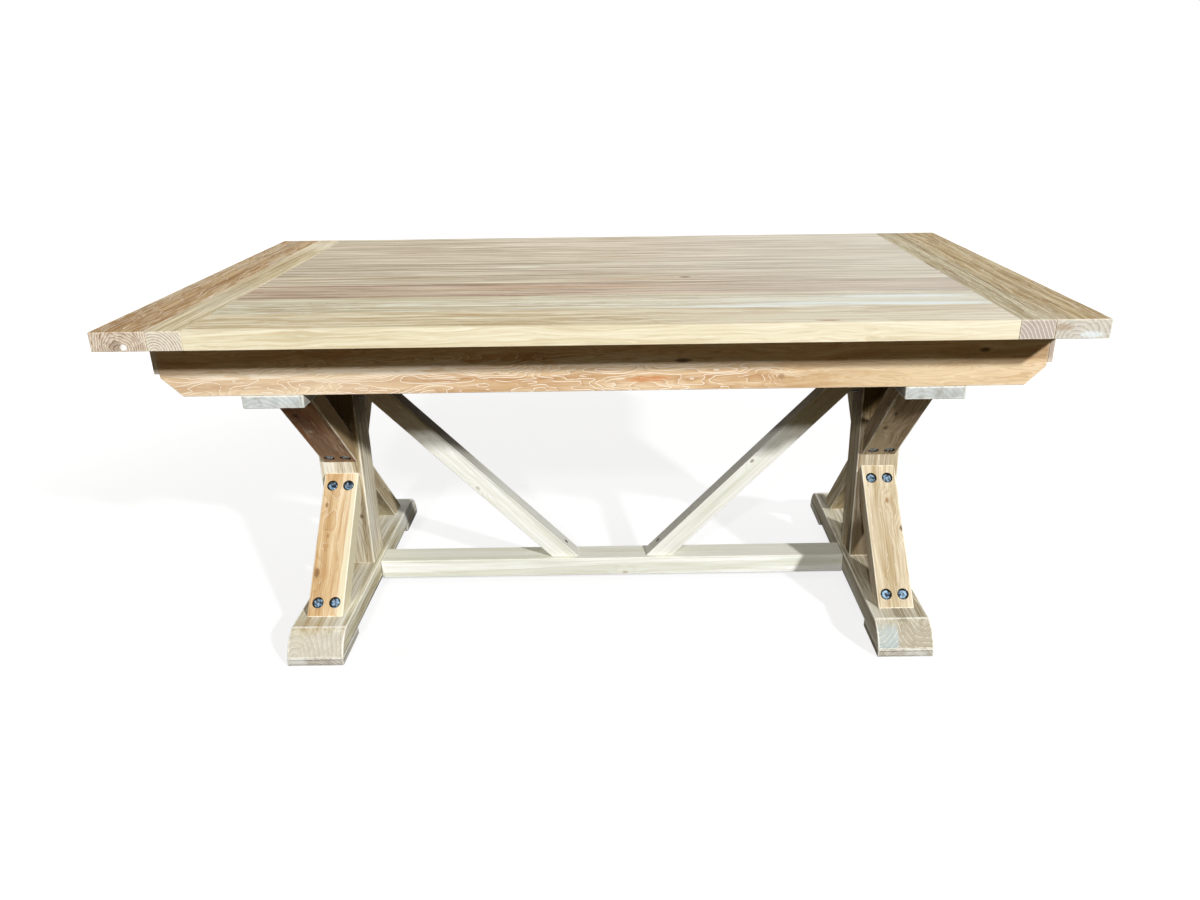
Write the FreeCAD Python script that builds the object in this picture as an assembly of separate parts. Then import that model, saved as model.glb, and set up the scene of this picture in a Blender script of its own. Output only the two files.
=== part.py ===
import FreeCAD, Part
import math
import os

Vector = FreeCAD.Vector

# Trestle dining table, in millimetres. X runs along the table, Y across it and Z up.
# The origin is on the floor under the middle of the top.

# Top: a field of long boards between two cross planks at each end
table_height = 780.0
top_length = 1800.0
top_width = 1000.0
top_thickness = 36.0
field_board_count = 8
outer_plank_width = 99.0
inner_plank_width = 63.0
tongue_thickness = 12.0
tongue_length = 14.0
tongue_stop = 35.0           # tongues and grooves end this far inside the long edges of the top
groove_play = 0.2            # room on every side of a tongue in its groove

# Apron frame under the top
apron_front_overhang = 118.0
apron_end_overhang = 38.0
apron_height = 123.5
apron_thickness = 25.0
apron_clip = 38.0            # corner cut off the lower ends of the long aprons
end_rail_height = 78.0
end_rail_thickness = 24.0
end_rail_lip = 10.0          # part of the end rail that laps over the ends of the long aprons
cross_rail_thickness = 45.0
housing_depth = 8.0          # how far a cross rail is let into each long apron
housing_play = 0.2
cleat_size = 25.0
cleat_end_gap = 2.0
cleat_screw_count = 3
batten_width = 70.0
batten_thickness = 22.0
batten_end_gap = 3.0
batten_screw_count = 6

# Trestles
trestle_inset = 256.0        # from the end of the top to the middle of a trestle
bearer_width = 120.0
bearer_thickness = 27.0
post_width = 100.0
post_depth = 90.0
post_tenon_width = 56.0
post_tenon_depth = 46.0
foot_tenon_length = 20.0
bearer_tenon_length = 9.0
mortise_play = 0.2           # room on every side of a tenon, and past its end
foot_length = 768.0
foot_width = 122.0
foot_height = 66.0           # top of the foot above the floor
foot_inner_board_width = 46.0
toe_setback = 52.0           # from the tip of a toe back to where its round begins
pad_length = 126.0
pad_thickness = 18.0
brace_width = 80.0
brace_thickness = 46.0
brace_toe_gap = 40.0         # from the front of a lower brace to where the round of the toe begins
brace_bearer_gap = 82.5      # from the front of an upper brace to the end of the bearer
brace_gap = 27.0             # bare post between an upper and a lower brace
brace_gap_drop = 3.2         # middle of that bare stretch below the middle of the post

# Stretcher and the two long sloping braces that stand on it
stretcher_width = 66.0
stretcher_height = 48.0
stretcher_drop = 2.0         # top of the stretcher below the top of the foot
stretcher_shoulder_gap = 0.9
stretcher_tenon_width = 42.0
stretcher_tenon_height = 20.0
stretcher_tenon_lift = 8.0   # underside of the tenon above the underside of the stretcher
stretcher_tenon_length = 25.0
peg_radius = 5.0
peg_length = 40.0
peg_play = 0.1
diagonal_width = 46.0
diagonal_thickness = 48.0
diagonal_foot_gap = 170.0    # between the low tips of the two sloping braces
diagonal_top_drop = 5.5      # high tip of a sloping brace below the bearer

# Round fasteners and their holes have flat sides, because there are so many of them
rim_sides = 14               # washers and the recesses round them
shank_sides = 8
screw_sides = 6

# Coach screws with washers, sunk in round recesses
bolt_shank_radius = 6.0
bolt_head_across_flats = 19.0
bolt_head_height = 7.5
bolt_play = 0.2              # room around a shank in its hole
bolt_tip_gap = 0.5
brace_bolt_length = 70.0
bearer_end_bolt_length = 55.0
frame_bolt_length = 80.0
recess_radius = 13.0
recess_depth = 12.0
washer_radius = 12.0
washer_hole_radius = 6.6
washer_thickness = 2.5
bolt_spacing = 38.0
lower_brace_bolt_inset = 33.0    # from the edges of a lower brace, along its face
upper_brace_bolt_inset = 26.0    # from the low edge of an upper brace, along its face
bearer_end_bolt_inset = 37.0     # from the high edge of an upper brace, along its face

# Wood screws
screw_head_radius = 4.5
screw_head_height = 3.5
screw_shank_radius = 2.25
screw_length = 40.0
screw_play = 0.15
diagonal_screw_inset = 45.0      # from the tip of a sloping brace, along its face
diagonal_screw_sink = 8.0        # depth of the head below the face
diagonal_screw_hold = 22.0       # length of the screw in the piece that it holds to

# Levels and places that follow from the sizes above
top_underside = table_height - top_thickness
apron_bottom = top_underside - apron_height
bearer_top = apron_bottom
bearer_bottom = bearer_top - bearer_thickness
foot_underside = pad_thickness
stretcher_top = foot_height - stretcher_drop
stretcher_bottom = stretcher_top - stretcher_height
apron_outer_x = top_length / 2 - apron_end_overhang
apron_outer_y = top_width / 2 - apron_front_overhang
bearer_length = 2 * apron_outer_y
apron_inner_y = apron_outer_y - apron_thickness
apron_end_x = apron_outer_x - end_rail_lip
trestle_x = top_length / 2 - trestle_inset
post_face_x = trestle_x - post_width / 2
post_face_y = post_depth / 2
foot_face_x = trestle_x - foot_width / 2
field_half_length = top_length / 2 - outer_plank_width - inner_plank_width
plank_joint_x = top_length / 2 - outer_plank_width
board_width = top_width / field_board_count
tongue_middle = top_underside + top_thickness / 2

# The braces share the post between foot and bearer, apart from the stretch that is left bare
post_middle = (foot_height + bearer_bottom) / 2 - brace_gap_drop
lower_brace_top = post_middle - brace_gap / 2
upper_brace_bottom = post_middle + brace_gap / 2
lower_brace_front_y = foot_length / 2 - toe_setback - brace_toe_gap
upper_brace_front_y = bearer_length / 2 - brace_bearer_gap
lower_brace_slope = math.atan2(lower_brace_top - foot_height, lower_brace_front_y - post_face_y)
upper_brace_slope = math.atan2(bearer_bottom - upper_brace_bottom, upper_brace_front_y - post_face_y)
lower_brace_heel_y = lower_brace_front_y - brace_thickness / math.sin(lower_brace_slope)
upper_brace_heel_y = upper_brace_front_y - brace_thickness / math.sin(upper_brace_slope)

# The sloping braces run from the stretcher to the corner of post and bearer
diagonal_tip_x = diagonal_foot_gap / 2
diagonal_top = bearer_bottom - diagonal_top_drop
diagonal_slope = math.atan2(diagonal_top - stretcher_top, post_face_x - diagonal_tip_x)
diagonal_seat_length = diagonal_thickness / math.sin(diagonal_slope)
diagonal_post_length = diagonal_thickness / math.cos(diagonal_slope)

sides = ((-1, "left"), (1, "right"))
ends = ((-1, "front"), (1, "back"))
pieces = {}


def block(x_range, y_range, z_range):
    x0, x1 = sorted(x_range)
    y0, y1 = sorted(y_range)
    z0, z1 = sorted(z_range)
    return Part.makeBox(x1 - x0, y1 - y0, z1 - z0, Vector(x0, y0, z0))


def centred_block(middle, x_size, y_size, z_range):
    x_range = (middle[0] - x_size / 2, middle[0] + x_size / 2)
    y_range = (middle[1] - y_size / 2, middle[1] + y_size / 2)
    return block(x_range, y_range, z_range)


def slab(corners, depth):
    # A flat outline pushed along a vector
    outline = Part.makePolygon(corners + [corners[0]])
    return Part.Face(outline).extrude(depth)


def drill(shape, tools):
    # Cuts only with the tools that reach the shape
    reaching = [tool for tool in tools if shape.BoundBox.intersect(tool.BoundBox)]
    if not reaching:
        return shape
    return shape.cut(reaching)


def ring(centre, direction, radius, side_count):
    # Corners of a regular outline square to a direction
    first = Vector(1, 0, 0) if abs(direction.x) < 0.5 else Vector(0, 1, 0)
    second = direction.cross(first)
    corners = []
    for step in range(side_count):
        angle = 2 * math.pi * step / side_count
        offset = first * math.cos(angle) + second * math.sin(angle)
        corners.append(centre + offset * radius)
    return corners


def rod(start, direction, radius, side_count, begin, end):
    # A bar along a line, between two distances from its start
    corners = ring(start + direction * begin, direction, radius, side_count)
    return slab(corners, direction * (end - begin))


def tapered(start, direction, start_radius, end_radius, side_count, length):
    # A bar that narrows evenly from its start
    wires = []
    for radius, distance in ((start_radius, 0), (end_radius, length)):
        corners = ring(start + direction * distance, direction, radius, side_count)
        wires.append(Part.makePolygon(corners + [corners[0]]))
    return Part.makeLoft(wires, True, True)


class CoachScrew:
    # A hex head screw and its washer, sunk in a recess at a point of a face
    def __init__(self, face_point, inward, length):
        seat = recess_depth - washer_thickness
        tip = seat + length
        hole_radius = bolt_shank_radius + bolt_play
        self.recess = rod(face_point, inward, recess_radius, rim_sides, -recess_radius, recess_depth)
        self.hole = rod(face_point, inward, hole_radius, shank_sides, 0, tip + bolt_tip_gap)
        washer = rod(face_point, inward, washer_radius, rim_sides, seat, recess_depth)
        bore = rod(face_point, inward, washer_hole_radius, shank_sides, seat, recess_depth)
        self.washer = washer.cut(bore)
        corner_radius = bolt_head_across_flats / math.sqrt(3)
        head = rod(face_point, inward, corner_radius, 6, seat - bolt_head_height, seat)
        self.screw = head.fuse(rod(face_point, inward, bolt_shank_radius, shank_sides, seat, tip))


def wood_screw(point, inward, length, play):
    # A countersunk head that narrows to the shank, with the given room all round
    head_radius = screw_head_radius + play
    shank_radius = screw_shank_radius + play
    head = tapered(point, inward, head_radius, shank_radius, screw_sides, screw_head_height)
    shank = rod(point, inward, shank_radius, screw_sides, screw_head_height, length + play)
    return head.fuse(shank).removeSplitter()


# Screws up into the top, through the cleats and the batten
cleat_half_length = trestle_x - cross_rail_thickness / 2 - cleat_end_gap
cleat_y = apron_inner_y - cleat_size / 2
cleat_bottom = top_underside - cleat_size
batten_bottom = top_underside - batten_thickness
batten_half_length = apron_inner_y - cleat_size - batten_end_gap
up = Vector(0, 0, 1)
down = Vector(0, 0, -1)
top_screw_points = []


def even_places(half_length, count):
    # Places along a piece, half a space in from its ends
    return [half_length * ((2 * index + 1) / count - 1) for index in range(count)]


for end, end_name in ends:
    for x in even_places(cleat_half_length, cleat_screw_count):
        top_screw_points.append(Vector(x, end * cleat_y, cleat_bottom))
for y in even_places(batten_half_length, batten_screw_count):
    top_screw_points.append(Vector(0, y, batten_bottom))
top_screw_holes = [wood_screw(point, up, screw_length, screw_play) for point in top_screw_points]
pieces["top_screws"] = [wood_screw(point, up, screw_length, 0) for point in top_screw_points]

# Field boards with a tongue at each end, held back from the long edges of the top
tongue_z = (tongue_middle - tongue_thickness / 2, tongue_middle + tongue_thickness / 2)
groove_z = (tongue_z[0] - groove_play, tongue_z[1] + groove_play)
tongue_edge_y = top_width / 2 - tongue_stop
groove_edge_y = tongue_edge_y + groove_play
for index in range(field_board_count):
    front = board_width * index - top_width / 2
    back = front + board_width
    board = block((-field_half_length, field_half_length), (front, back), (top_underside, table_height))
    tongue_y = (max(front, -tongue_edge_y), min(back, tongue_edge_y))
    tongue_x = field_half_length + tongue_length
    board = board.fuse(block((-tongue_x, tongue_x), tongue_y, tongue_z)).removeSplitter()
    pieces["field_board_%d" % (index + 1)] = drill(board, top_screw_holes)

# End planks: the inner one takes the tongues, and a loose spline joins it to the outer one
groove_depth = tongue_length + groove_play
for side, side_name in sides:
    inner_x = (side * field_half_length, side * plank_joint_x)
    outer_x = (side * plank_joint_x, side * top_length / 2)
    full_y = (-top_width / 2, top_width / 2)
    groove_y = (-groove_edge_y, groove_edge_y)
    tongue_groove = block((inner_x[0], inner_x[0] + side * groove_depth), groove_y, groove_z)
    spline_groove_x = (side * (plank_joint_x - groove_depth), side * (plank_joint_x + groove_depth))
    spline_groove = block(spline_groove_x, groove_y, groove_z)
    inner_plank = block(inner_x, full_y, (top_underside, table_height))
    outer_plank = block(outer_x, full_y, (top_underside, table_height))
    pieces[side_name + "_inner_end_plank"] = inner_plank.cut([tongue_groove, spline_groove])
    pieces[side_name + "_outer_end_plank"] = outer_plank.cut(spline_groove)
    spline_x = (side * (plank_joint_x - tongue_length), side * (plank_joint_x + tongue_length))
    pieces[side_name + "_end_spline"] = block(spline_x, (-tongue_edge_y, tongue_edge_y), tongue_z)

# Cross rails, let into housings in the long aprons
rail_half_length = apron_inner_y + housing_depth - housing_play
housings = []
cross_rails = {}
for side, side_name in sides:
    rail_x = (side * trestle_x - cross_rail_thickness / 2, side * trestle_x + cross_rail_thickness / 2)
    rail_y = (-rail_half_length, rail_half_length)
    cross_rails[side_name] = block(rail_x, rail_y, (apron_bottom, top_underside))
    housing_x = (rail_x[0] - housing_play, rail_x[1] + housing_play)
    housing_y = (-apron_inner_y - housing_depth, apron_inner_y + housing_depth)
    housings.append(block(housing_x, housing_y, (apron_bottom, top_underside)))

# Long aprons with clipped lower ends, and the cleats screwed along them
apron_outline = [
    (-apron_end_x, top_underside),
    (apron_end_x, top_underside),
    (apron_end_x, apron_bottom + apron_clip),
    (apron_end_x - apron_clip, apron_bottom),
    (-apron_end_x + apron_clip, apron_bottom),
    (-apron_end_x, apron_bottom + apron_clip),
]
for end, end_name in ends:
    corners = [Vector(x, end * apron_inner_y, z) for x, z in apron_outline]
    apron = slab(corners, Vector(0, end * apron_thickness, 0))
    pieces[end_name + "_apron"] = apron.cut(housings)
    cleat_span = (end * apron_inner_y, end * (apron_inner_y - cleat_size))
    cleat = block((-cleat_half_length, cleat_half_length), cleat_span, (cleat_bottom, top_underside))
    pieces[end_name + "_cleat"] = drill(cleat, top_screw_holes)

# End rails: the body fits between the long aprons, and the lip laps over their ends
for side, side_name in sides:
    rail_z = (top_underside - end_rail_height, top_underside)
    body_x = (side * (apron_outer_x - end_rail_thickness), side * apron_outer_x)
    lip_x = (side * apron_end_x, side * apron_outer_x)
    body = block(body_x, (-apron_inner_y, apron_inner_y), rail_z)
    lip = block(lip_x, (-apron_outer_y, apron_outer_y), rail_z)
    pieces[side_name + "_end_rail"] = body.fuse(lip).removeSplitter()

# Batten across the middle of the field
batten = centred_block((0, 0), batten_width, 2 * batten_half_length, (batten_bottom, top_underside))
pieces["middle_batten"] = drill(batten, top_screw_holes)

# Outlines of a foot and of one of its pads, seen from the end of the table. The toe is an arc
# that starts at its setback on the top and comes down square to the floor at the tip.
toe_radius = (toe_setback ** 2 + foot_height ** 2) / (2 * toe_setback)
toe_middle_y = foot_length / 2 - toe_radius


def toe_point(end, height):
    reach = math.sqrt(toe_radius ** 2 - height ** 2)
    return Vector(0, end * (toe_middle_y + reach), height)


def toe_arc(end, low, high):
    return Part.Arc(toe_point(end, low), toe_point(end, (low + high) / 2), toe_point(end, high)).toShape()


def line(first, second):
    return Part.LineSegment(first, second).toShape()


def foot_face():
    edges = [
        toe_arc(-1, foot_underside, foot_height),
        line(toe_point(-1, foot_height), toe_point(1, foot_height)),
        toe_arc(1, foot_underside, foot_height),
        line(toe_point(1, foot_underside), toe_point(-1, foot_underside)),
    ]
    return Part.Face(Part.Wire(Part.__sortEdges__(edges)))


def pad_face(end):
    heel_y = end * (foot_length / 2 - pad_length)
    heel_low = Vector(0, heel_y, 0)
    heel_high = Vector(0, heel_y, pad_thickness)
    edges = [
        toe_arc(end, 0, pad_thickness),
        line(toe_point(end, pad_thickness), heel_high),
        line(heel_high, heel_low),
        line(heel_low, toe_point(end, 0)),
    ]
    return Part.Face(Part.Wire(Part.__sortEdges__(edges)))


def spread(face, x_range):
    # An outline at X = 0 made into a board between two X places
    x0, x1 = sorted(x_range)
    board = face.extrude(Vector(x1 - x0, 0, 0))
    board.translate(Vector(x0, 0, 0))
    return board


# Stretcher with a stub tenon and a peg at each end
tenon_bottom = stretcher_bottom + stretcher_tenon_lift
tenon_top = tenon_bottom + stretcher_tenon_height
shoulder_x = foot_face_x - stretcher_shoulder_gap
tenon_end_x = foot_face_x + stretcher_tenon_length
peg_x = foot_face_x + stretcher_tenon_length / 2
peg_holes = []
stretcher_mortises = []
pieces["stretcher_pegs"] = []
for side, side_name in sides:
    peg_start = Vector(side * peg_x, 0, foot_underside)
    peg_holes.append(rod(peg_start, up, peg_radius + peg_play, shank_sides, 0, peg_length + peg_play))
    pieces["stretcher_pegs"].append(rod(peg_start, up, peg_radius, shank_sides, 0, peg_length))
    mortise_x = (side * (foot_face_x - mortise_play), side * (tenon_end_x + mortise_play))
    mortise_y = (-stretcher_tenon_width / 2 - mortise_play, stretcher_tenon_width / 2 + mortise_play)
    mortise_z = (tenon_bottom - mortise_play, tenon_top + mortise_play)
    stretcher_mortises.append(block(mortise_x, mortise_y, mortise_z))
beam = centred_block((0, 0), 2 * shoulder_x, stretcher_width, (stretcher_bottom, stretcher_top))
tenon = centred_block((0, 0), 2 * tenon_end_x, stretcher_tenon_width, (tenon_bottom, tenon_top))
stretcher = beam.fuse(tenon).removeSplitter().cut(peg_holes)

# Sloping long braces, with a sunk screw at each end
diagonal_screws = []
diagonal_screw_holes = []
diagonals = {}


def sunk_screw(face_point, inward, through):
    # The head lies below the face, and the screw reaches past the brace into its neighbour
    start = face_point + inward * diagonal_screw_sink
    length = through - diagonal_screw_sink + diagonal_screw_hold
    well_radius = screw_head_radius + screw_play
    well = rod(face_point, inward, well_radius, screw_sides, -screw_head_radius * 4, diagonal_screw_sink)
    hole = wood_screw(start, inward, length, screw_play)
    diagonal_screw_holes.append(well.fuse(hole))
    diagonal_screws.append(wood_screw(start, inward, length, 0))


inset_x = diagonal_screw_inset * math.cos(diagonal_slope)
inset_z = diagonal_screw_inset * math.sin(diagonal_slope)
for side, side_name in sides:
    outline = [
        (side * diagonal_tip_x, stretcher_top),
        (side * post_face_x, diagonal_top),
        (side * post_face_x, diagonal_top - diagonal_post_length),
        (side * (diagonal_tip_x + diagonal_seat_length), stretcher_top),
    ]
    corners = [Vector(x, -diagonal_width / 2, z) for x, z in outline]
    diagonals[side_name] = slab(corners, Vector(0, diagonal_width, 0))
    low_point = Vector(side * (diagonal_tip_x + inset_x), 0, stretcher_top + inset_z)
    sunk_screw(low_point, down, inset_z)
    high_z = diagonal_top - diagonal_post_length - inset_z
    high_point = Vector(side * (post_face_x - inset_x), 0, high_z)
    sunk_screw(high_point, Vector(side, 0, 0), inset_x)
for side, side_name in sides:
    pieces[side_name + "_diagonal_brace"] = drill(diagonals[side_name], diagonal_screw_holes)
pieces["stretcher"] = drill(stretcher, diagonal_screw_holes)
pieces["diagonal_screws"] = diagonal_screws

# Post mortises in the feet and the bearers
post_tenon_low = foot_height - foot_tenon_length
post_tenon_high = bearer_bottom + bearer_tenon_length
bearer_bolt_y = (post_face_y + upper_brace_heel_y) / 2


def brace_outline(end, upper):
    # Corners of a brace in the plane across the table: two on the post, two on the foot or the bearer
    if upper:
        return [
            Vector(0, end * post_face_y, upper_brace_bottom),
            Vector(0, end * upper_brace_front_y, bearer_bottom),
            Vector(0, end * upper_brace_heel_y, bearer_bottom),
            Vector(0, end * post_face_y, upper_brace_bottom + brace_thickness / math.cos(upper_brace_slope)),
        ]
    return [
        Vector(0, end * post_face_y, lower_brace_top),
        Vector(0, end * lower_brace_front_y, foot_height),
        Vector(0, end * lower_brace_heel_y, foot_height),
        Vector(0, end * post_face_y, lower_brace_top - brace_thickness / math.cos(lower_brace_slope)),
    ]


def brace_screws(end, upper, middle_x):
    # Two screws at each end of a brace, square to its outer face
    corners = brace_outline(end, upper)
    along = (corners[1] - corners[0]).normalize()
    inward = along.cross(Vector(1, 0, 0)).normalize()
    if inward.y * end > 0:
        inward = inward * -1
    if upper:
        post_row = corners[0] + along * upper_brace_bolt_inset
        seat_row = corners[1] - along * bearer_end_bolt_inset
        seat_bolt_length = bearer_end_bolt_length
    else:
        post_row = corners[0] + along * lower_brace_bolt_inset
        seat_row = corners[1] - along * lower_brace_bolt_inset
        seat_bolt_length = brace_bolt_length
    screws = []
    for row, length in ((post_row, brace_bolt_length), (seat_row, seat_bolt_length)):
        for step in (-0.5, 0.5):
            face_point = row + Vector(middle_x + step * bolt_spacing, 0, 0)
            screws.append(CoachScrew(face_point, inward, length))
    return screws


bearer_screws = []
post_screws = []
for side, side_name in sides:
    middle_x = side * trestle_x
    trestle_screws = []

    # Braces between post and foot, and between post and bearer
    for end, end_name in ends:
        for upper, level in ((True, "upper"), (False, "lower")):
            screws = brace_screws(end, upper, middle_x)
            trestle_screws.extend(screws)
            corners = brace_outline(end, upper)
            start = Vector(middle_x - brace_width / 2, 0, 0)
            brace = slab([start + corner for corner in corners], Vector(brace_width, 0, 0))
            tools = [screw.recess for screw in screws] + [screw.hole for screw in screws]
            pieces["%s_%s_%s_brace" % (side_name, end_name, level)] = brace.cut(tools)

    # Screws that hold the post to foot and bearer, and the bearer to its cross rail
    low_screw = CoachScrew(Vector(middle_x, 0, foot_underside), up, frame_bolt_length)
    high_screw = CoachScrew(Vector(middle_x, 0, bearer_top), down, frame_bolt_length)
    post_screws.extend((low_screw, high_screw))
    rail_screws = []
    for end, end_name in ends:
        rail_point = Vector(middle_x, end * bearer_bolt_y, bearer_bottom)
        rail_screws.append(CoachScrew(rail_point, up, frame_bolt_length))
    bearer_screws.extend(rail_screws)
    brace_holes = [screw.hole for screw in trestle_screws]

    # Post with a stub tenon at each end
    post = centred_block((middle_x, 0), post_width, post_depth, (foot_height, bearer_bottom))
    tenon_z = (post_tenon_low, post_tenon_high)
    post_tenon = centred_block((middle_x, 0), post_tenon_width, post_tenon_depth, tenon_z)
    post = post.fuse(post_tenon).removeSplitter()
    post_holes = brace_holes + [low_screw.hole, high_screw.hole] + diagonal_screw_holes
    pieces[side_name + "_post"] = drill(post, post_holes)
    mortise_width = post_tenon_width + 2 * mortise_play
    mortise_depth = post_tenon_depth + 2 * mortise_play
    mortise_z = (post_tenon_low - mortise_play, post_tenon_high + mortise_play)
    post_mortise = centred_block((middle_x, 0), mortise_width, mortise_depth, mortise_z)

    # Bearer
    bearer = centred_block((middle_x, 0), bearer_width, bearer_length, (bearer_bottom, bearer_top))
    bearer_cuts = brace_holes + [post_mortise, high_screw.recess, high_screw.hole]
    for screw in rail_screws:
        bearer_cuts.extend((screw.recess, screw.hole))
    pieces[side_name + "_bearer"] = drill(bearer, bearer_cuts)
    rail_holes = [screw.hole for screw in rail_screws]
    pieces[side_name + "_cross_rail"] = drill(cross_rails[side_name], rail_holes)

    # Foot glued up from two boards, and its pads
    foot_cuts = brace_holes + stretcher_mortises + peg_holes
    foot_cuts = foot_cuts + [post_mortise, low_screw.recess, low_screw.hole]
    inner_face = middle_x - side * foot_width / 2
    glue_line = inner_face + side * foot_inner_board_width
    outer_face = middle_x + side * foot_width / 2
    inner_board = spread(foot_face(), (inner_face, glue_line))
    outer_board = spread(foot_face(), (glue_line, outer_face))
    pieces[side_name + "_foot_inner_board"] = drill(inner_board, foot_cuts)
    pieces[side_name + "_foot_outer_board"] = drill(outer_board, foot_cuts)
    for end, end_name in ends:
        pieces["%s_%s_pad" % (side_name, end_name)] = spread(pad_face(end), (inner_face, outer_face))

    pieces[side_name + "_brace_bolts"] = [screw.screw for screw in trestle_screws]
    pieces[side_name + "_brace_washers"] = [screw.washer for screw in trestle_screws]

pieces["bearer_bolts"] = [screw.screw for screw in bearer_screws]
pieces["bearer_washers"] = [screw.washer for screw in bearer_screws]
pieces["post_bolts"] = [screw.screw for screw in post_screws]
pieces["post_washers"] = [screw.washer for screw in post_screws]

os.makedirs("parts", exist_ok=True)
for name, shape in pieces.items():
    if isinstance(shape, list):
        shape = Part.makeCompound(shape)
    shape.exportStep("parts/%s.step" % name)
print(len(pieces), "pieces")
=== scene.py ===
import math
import random

import bmesh
import bpy
from mathutils import Euler, Matrix, Vector


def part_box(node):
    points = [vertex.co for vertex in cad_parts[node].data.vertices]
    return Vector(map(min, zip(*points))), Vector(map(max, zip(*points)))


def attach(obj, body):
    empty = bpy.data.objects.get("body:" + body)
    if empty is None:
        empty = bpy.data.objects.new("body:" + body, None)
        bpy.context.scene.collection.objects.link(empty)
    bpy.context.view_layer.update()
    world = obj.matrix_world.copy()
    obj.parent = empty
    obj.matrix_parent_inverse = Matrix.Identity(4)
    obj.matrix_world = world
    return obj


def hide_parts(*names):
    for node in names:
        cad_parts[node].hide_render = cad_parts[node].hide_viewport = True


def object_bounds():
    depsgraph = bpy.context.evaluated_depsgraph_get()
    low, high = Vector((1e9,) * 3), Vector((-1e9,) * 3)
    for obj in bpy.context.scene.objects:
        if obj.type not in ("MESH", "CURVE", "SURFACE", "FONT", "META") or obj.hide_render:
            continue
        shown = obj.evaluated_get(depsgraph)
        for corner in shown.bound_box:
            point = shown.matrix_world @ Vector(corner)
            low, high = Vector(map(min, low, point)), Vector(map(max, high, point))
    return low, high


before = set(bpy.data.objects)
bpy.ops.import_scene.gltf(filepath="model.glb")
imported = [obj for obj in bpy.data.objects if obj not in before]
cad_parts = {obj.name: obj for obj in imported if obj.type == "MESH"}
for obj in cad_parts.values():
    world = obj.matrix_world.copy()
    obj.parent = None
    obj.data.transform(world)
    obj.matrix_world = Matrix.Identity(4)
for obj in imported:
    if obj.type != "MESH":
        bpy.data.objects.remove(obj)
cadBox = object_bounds()
scene = bpy.context.scene
scene.view_settings.view_transform = "Standard"
print("frame loaded:", len(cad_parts), "nodes")


def tone(red, green, blue):  # screen values, 0 to 255, to linear light
    linear = []
    for value in (red, green, blue):
        share = value / 255
        linear.append(share / 12.92 if share <= 0.04045 else ((share + 0.055) / 1.055) ** 2.4)
    return (linear[0], linear[1], linear[2], 1.0)


# node helpers: a value may be a plain number, a colour or another node's socket
def feed(tree, socket, value):
    if isinstance(value, bpy.types.NodeSocket):
        tree.links.new(value, socket)
    else:
        socket.default_value = value


def number(tree, operation, first, second=0.0, third=0.0):
    node = tree.nodes.new("ShaderNodeMath")
    node.operation = operation
    for socket, value in zip(node.inputs, (first, second, third)):
        feed(tree, socket, value)
    return node.outputs[0]


def vector(tree, operation, first, second=(0, 0, 0), third=(0, 0, 0)):
    node = tree.nodes.new("ShaderNodeVectorMath")
    node.operation = operation
    for socket, value in zip(node.inputs, (first, second, third)):
        feed(tree, socket, value)
    single = operation in ("LENGTH", "DOT_PRODUCT", "DISTANCE")
    return node.outputs["Value" if single else "Vector"]


def rise(tree, value, low, high):  # 0 at low, 1 at high, smooth between
    node = tree.nodes.new("ShaderNodeMapRange")
    node.interpolation_type = "SMOOTHSTEP"
    feed(tree, node.inputs["Value"], value)
    node.inputs["From Min"].default_value = low
    node.inputs["From Max"].default_value = high
    return node.outputs["Result"]


def blendColour(tree, share, first, second, how="MIX"):
    node = tree.nodes.new("ShaderNodeMix")
    node.data_type = "RGBA"
    node.blend_type = how
    node.clamp_factor = True
    feed(tree, node.inputs[0], share)
    feed(tree, node.inputs[6], first)
    feed(tree, node.inputs[7], second)
    return node.outputs[2]


def ramp(tree, value, stops):
    node = tree.nodes.new("ShaderNodeValToRGB")
    feed(tree, node.inputs["Fac"], value)
    elements = node.color_ramp.elements
    while len(elements) < len(stops):
        elements.new(0.5)
    for element, (place, colour) in zip(elements, stops):
        element.position = place
        element.color = colour
    return node.outputs["Color"]


def cloud(tree, place, stretch, shift, detail=2.0, output="Fac"):
    node = tree.nodes.new("ShaderNodeTexNoise")
    node.inputs["Scale"].default_value = 1.0
    node.inputs["Detail"].default_value = detail
    feed(tree, node.inputs["Vector"], vector(tree, "MULTIPLY_ADD", place, stretch, shift))
    return node.outputs[output]


def grey(value):
    return (value, value, value, 1.0)


def addBump(tree, shader, height, strength, distance):
    bump = tree.nodes.new("ShaderNodeBump")
    bump.inputs["Strength"].default_value = strength
    bump.inputs["Distance"].default_value = distance
    tree.links.new(height, bump.inputs["Height"])
    tree.links.new(bump.outputs["Normal"], shader.inputs["Normal"])


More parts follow.
